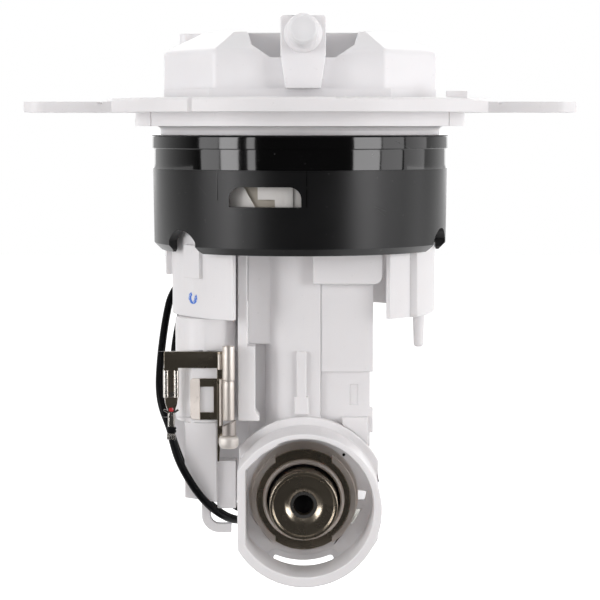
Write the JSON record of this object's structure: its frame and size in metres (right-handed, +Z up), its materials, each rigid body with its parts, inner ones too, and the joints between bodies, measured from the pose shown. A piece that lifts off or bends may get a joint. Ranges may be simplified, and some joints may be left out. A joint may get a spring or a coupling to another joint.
{
  "type": "fuel pump module",
  "caption": "In-tank fuel pump module: eared white flange with domed cover and outlet nipple, black snap ring, pump and filter housing, regulator in a collar, level sensor and leads.",
  "frame": {"origin": "centre of the flange's underside, which seats on the tank", "axes": "+Z up, out of the tank; -Y along the outlet nipple; X along the two ears"},
  "size_m": [0.1864, 0.1465, 0.1884],
  "materials": {
    "white_pom": "translucent natural acetal, satin",
    "dome_pom": "translucent natural acetal, satin",
    "gloss_black": "glossy black",
    "matt_black": "matt charcoal, fine grain",
    "nickel": "nickel-plated steel",
    "dark_nickel": "bright nickel, dark reflections",
    "black_wire": "black insulation",
    "black_rubber": "nitrile rubber",
    "tin": "tin-plated brass",
    "copper": "copper segments",
    "steel": "ground steel",
    "carbon": "carbon",
    "ferrite": "ferrite",
    "phenolic": "phenolic resin",
    "alloy": "die-cast alloy",
    "filter_paper": "pleated paper",
    "strainer_mesh": "nylon mesh",
    "spring_steel": "spring steel"
  },
  "bodies": {
    "module": {"flange_plate": "white_pom", "dome_cover": "dome_pom", "outlet_plug": "dome_pom", "outlet_fitting": "dome_pom", "connector_shroud": "dome_pom", "connector_pins": "tin", "ring_cap": "gloss_black", "ring_skirt": "matt_black", "filter_case": "white_pom", "filter_case_cap": "white_pom", "feed_tube": "white_pom", "filter_element": "filter_paper", "drip_leg": "white_pom", "pump_holder": "white_pom", "fuel_duct": "white_pom", "catch_lip": "white_pom", "sensor_tower": "white_pom", "snap_rail": "white_pom", "rear_case": "white_pom", "wire_hook": "white_pom", "sensor_bracket": "nickel", "sensor_can": "nickel", "sensor_band": "nickel", "sensor_tip": "tin", "earth_strap": "dark_nickel", "terminal_receptacle": "tin", "wire_seal": "black_rubber", "earth_lead": "black_wire", "pump_lead": "black_wire", "sensor_lead": "black_wire", "pump_plug": "white_pom", "regulator_holder": "white_pom", "regulator_body": "dark_nickel", "regulator_retainer": "nickel", "regulator_bead": "dark_nickel", "regulator_cup": "dark_nickel", "regulator_diaphragm": "black_rubber", "regulator_spring": "spring_steel", "regulator_o_ring": "black_rubber", "pump_casing": "steel", "pump_magnets": "ferrite", "pump_end_cap": "white_pom", "check_spring": "spring_steel", "relief_spring": "spring_steel", "pump_chamber": "alloy", "pump_brushes": "carbon", "pump_cushion": "black_rubber", "inlet_strainer": "strainer_mesh"},
    "rotor": {"armature": "phenolic", "rotor_shaft": "steel", "commutator": "copper", "impeller": "phenolic"},
    "regulator_valve_body": {"regulator_valve": "steel"},
    "check_valve_body": {"check_valve": "phenolic"},
    "relief_valve_body": {"relief_valve": "steel"}
  },
  "joints": [
    {"name": "rotor_spin", "type": "hinge", "parent": "module", "child": "rotor", "pos_m": [0.0036, 0.003, -0.12], "axis": [0, 0, 1], "continuous": true},
    {"name": "regulator_valve_slide", "type": "slide", "parent": "module", "child": "regulator_valve_body", "axis": [0, -1, 0], "range_m": [0, 0.001], "stiffness_N_per_m": 2000, "springref_m": -0.004, "deforming": ["regulator_spring"]},
    {"name": "check_valve_slide", "type": "slide", "parent": "module", "child": "check_valve_body", "axis": [0, 0, 1], "range_m": [0, 0.002], "stiffness_N_per_m": 120, "springref_m": -0.002, "deforming": ["check_spring"]},
    {"name": "relief_valve_slide", "type": "slide", "parent": "module", "child": "relief_valve_body", "axis": [0, 0, -1], "range_m": [0, 0.001], "stiffness_N_per_m": 800, "springref_m": -0.002, "deforming": ["relief_spring"]}
  ]
}
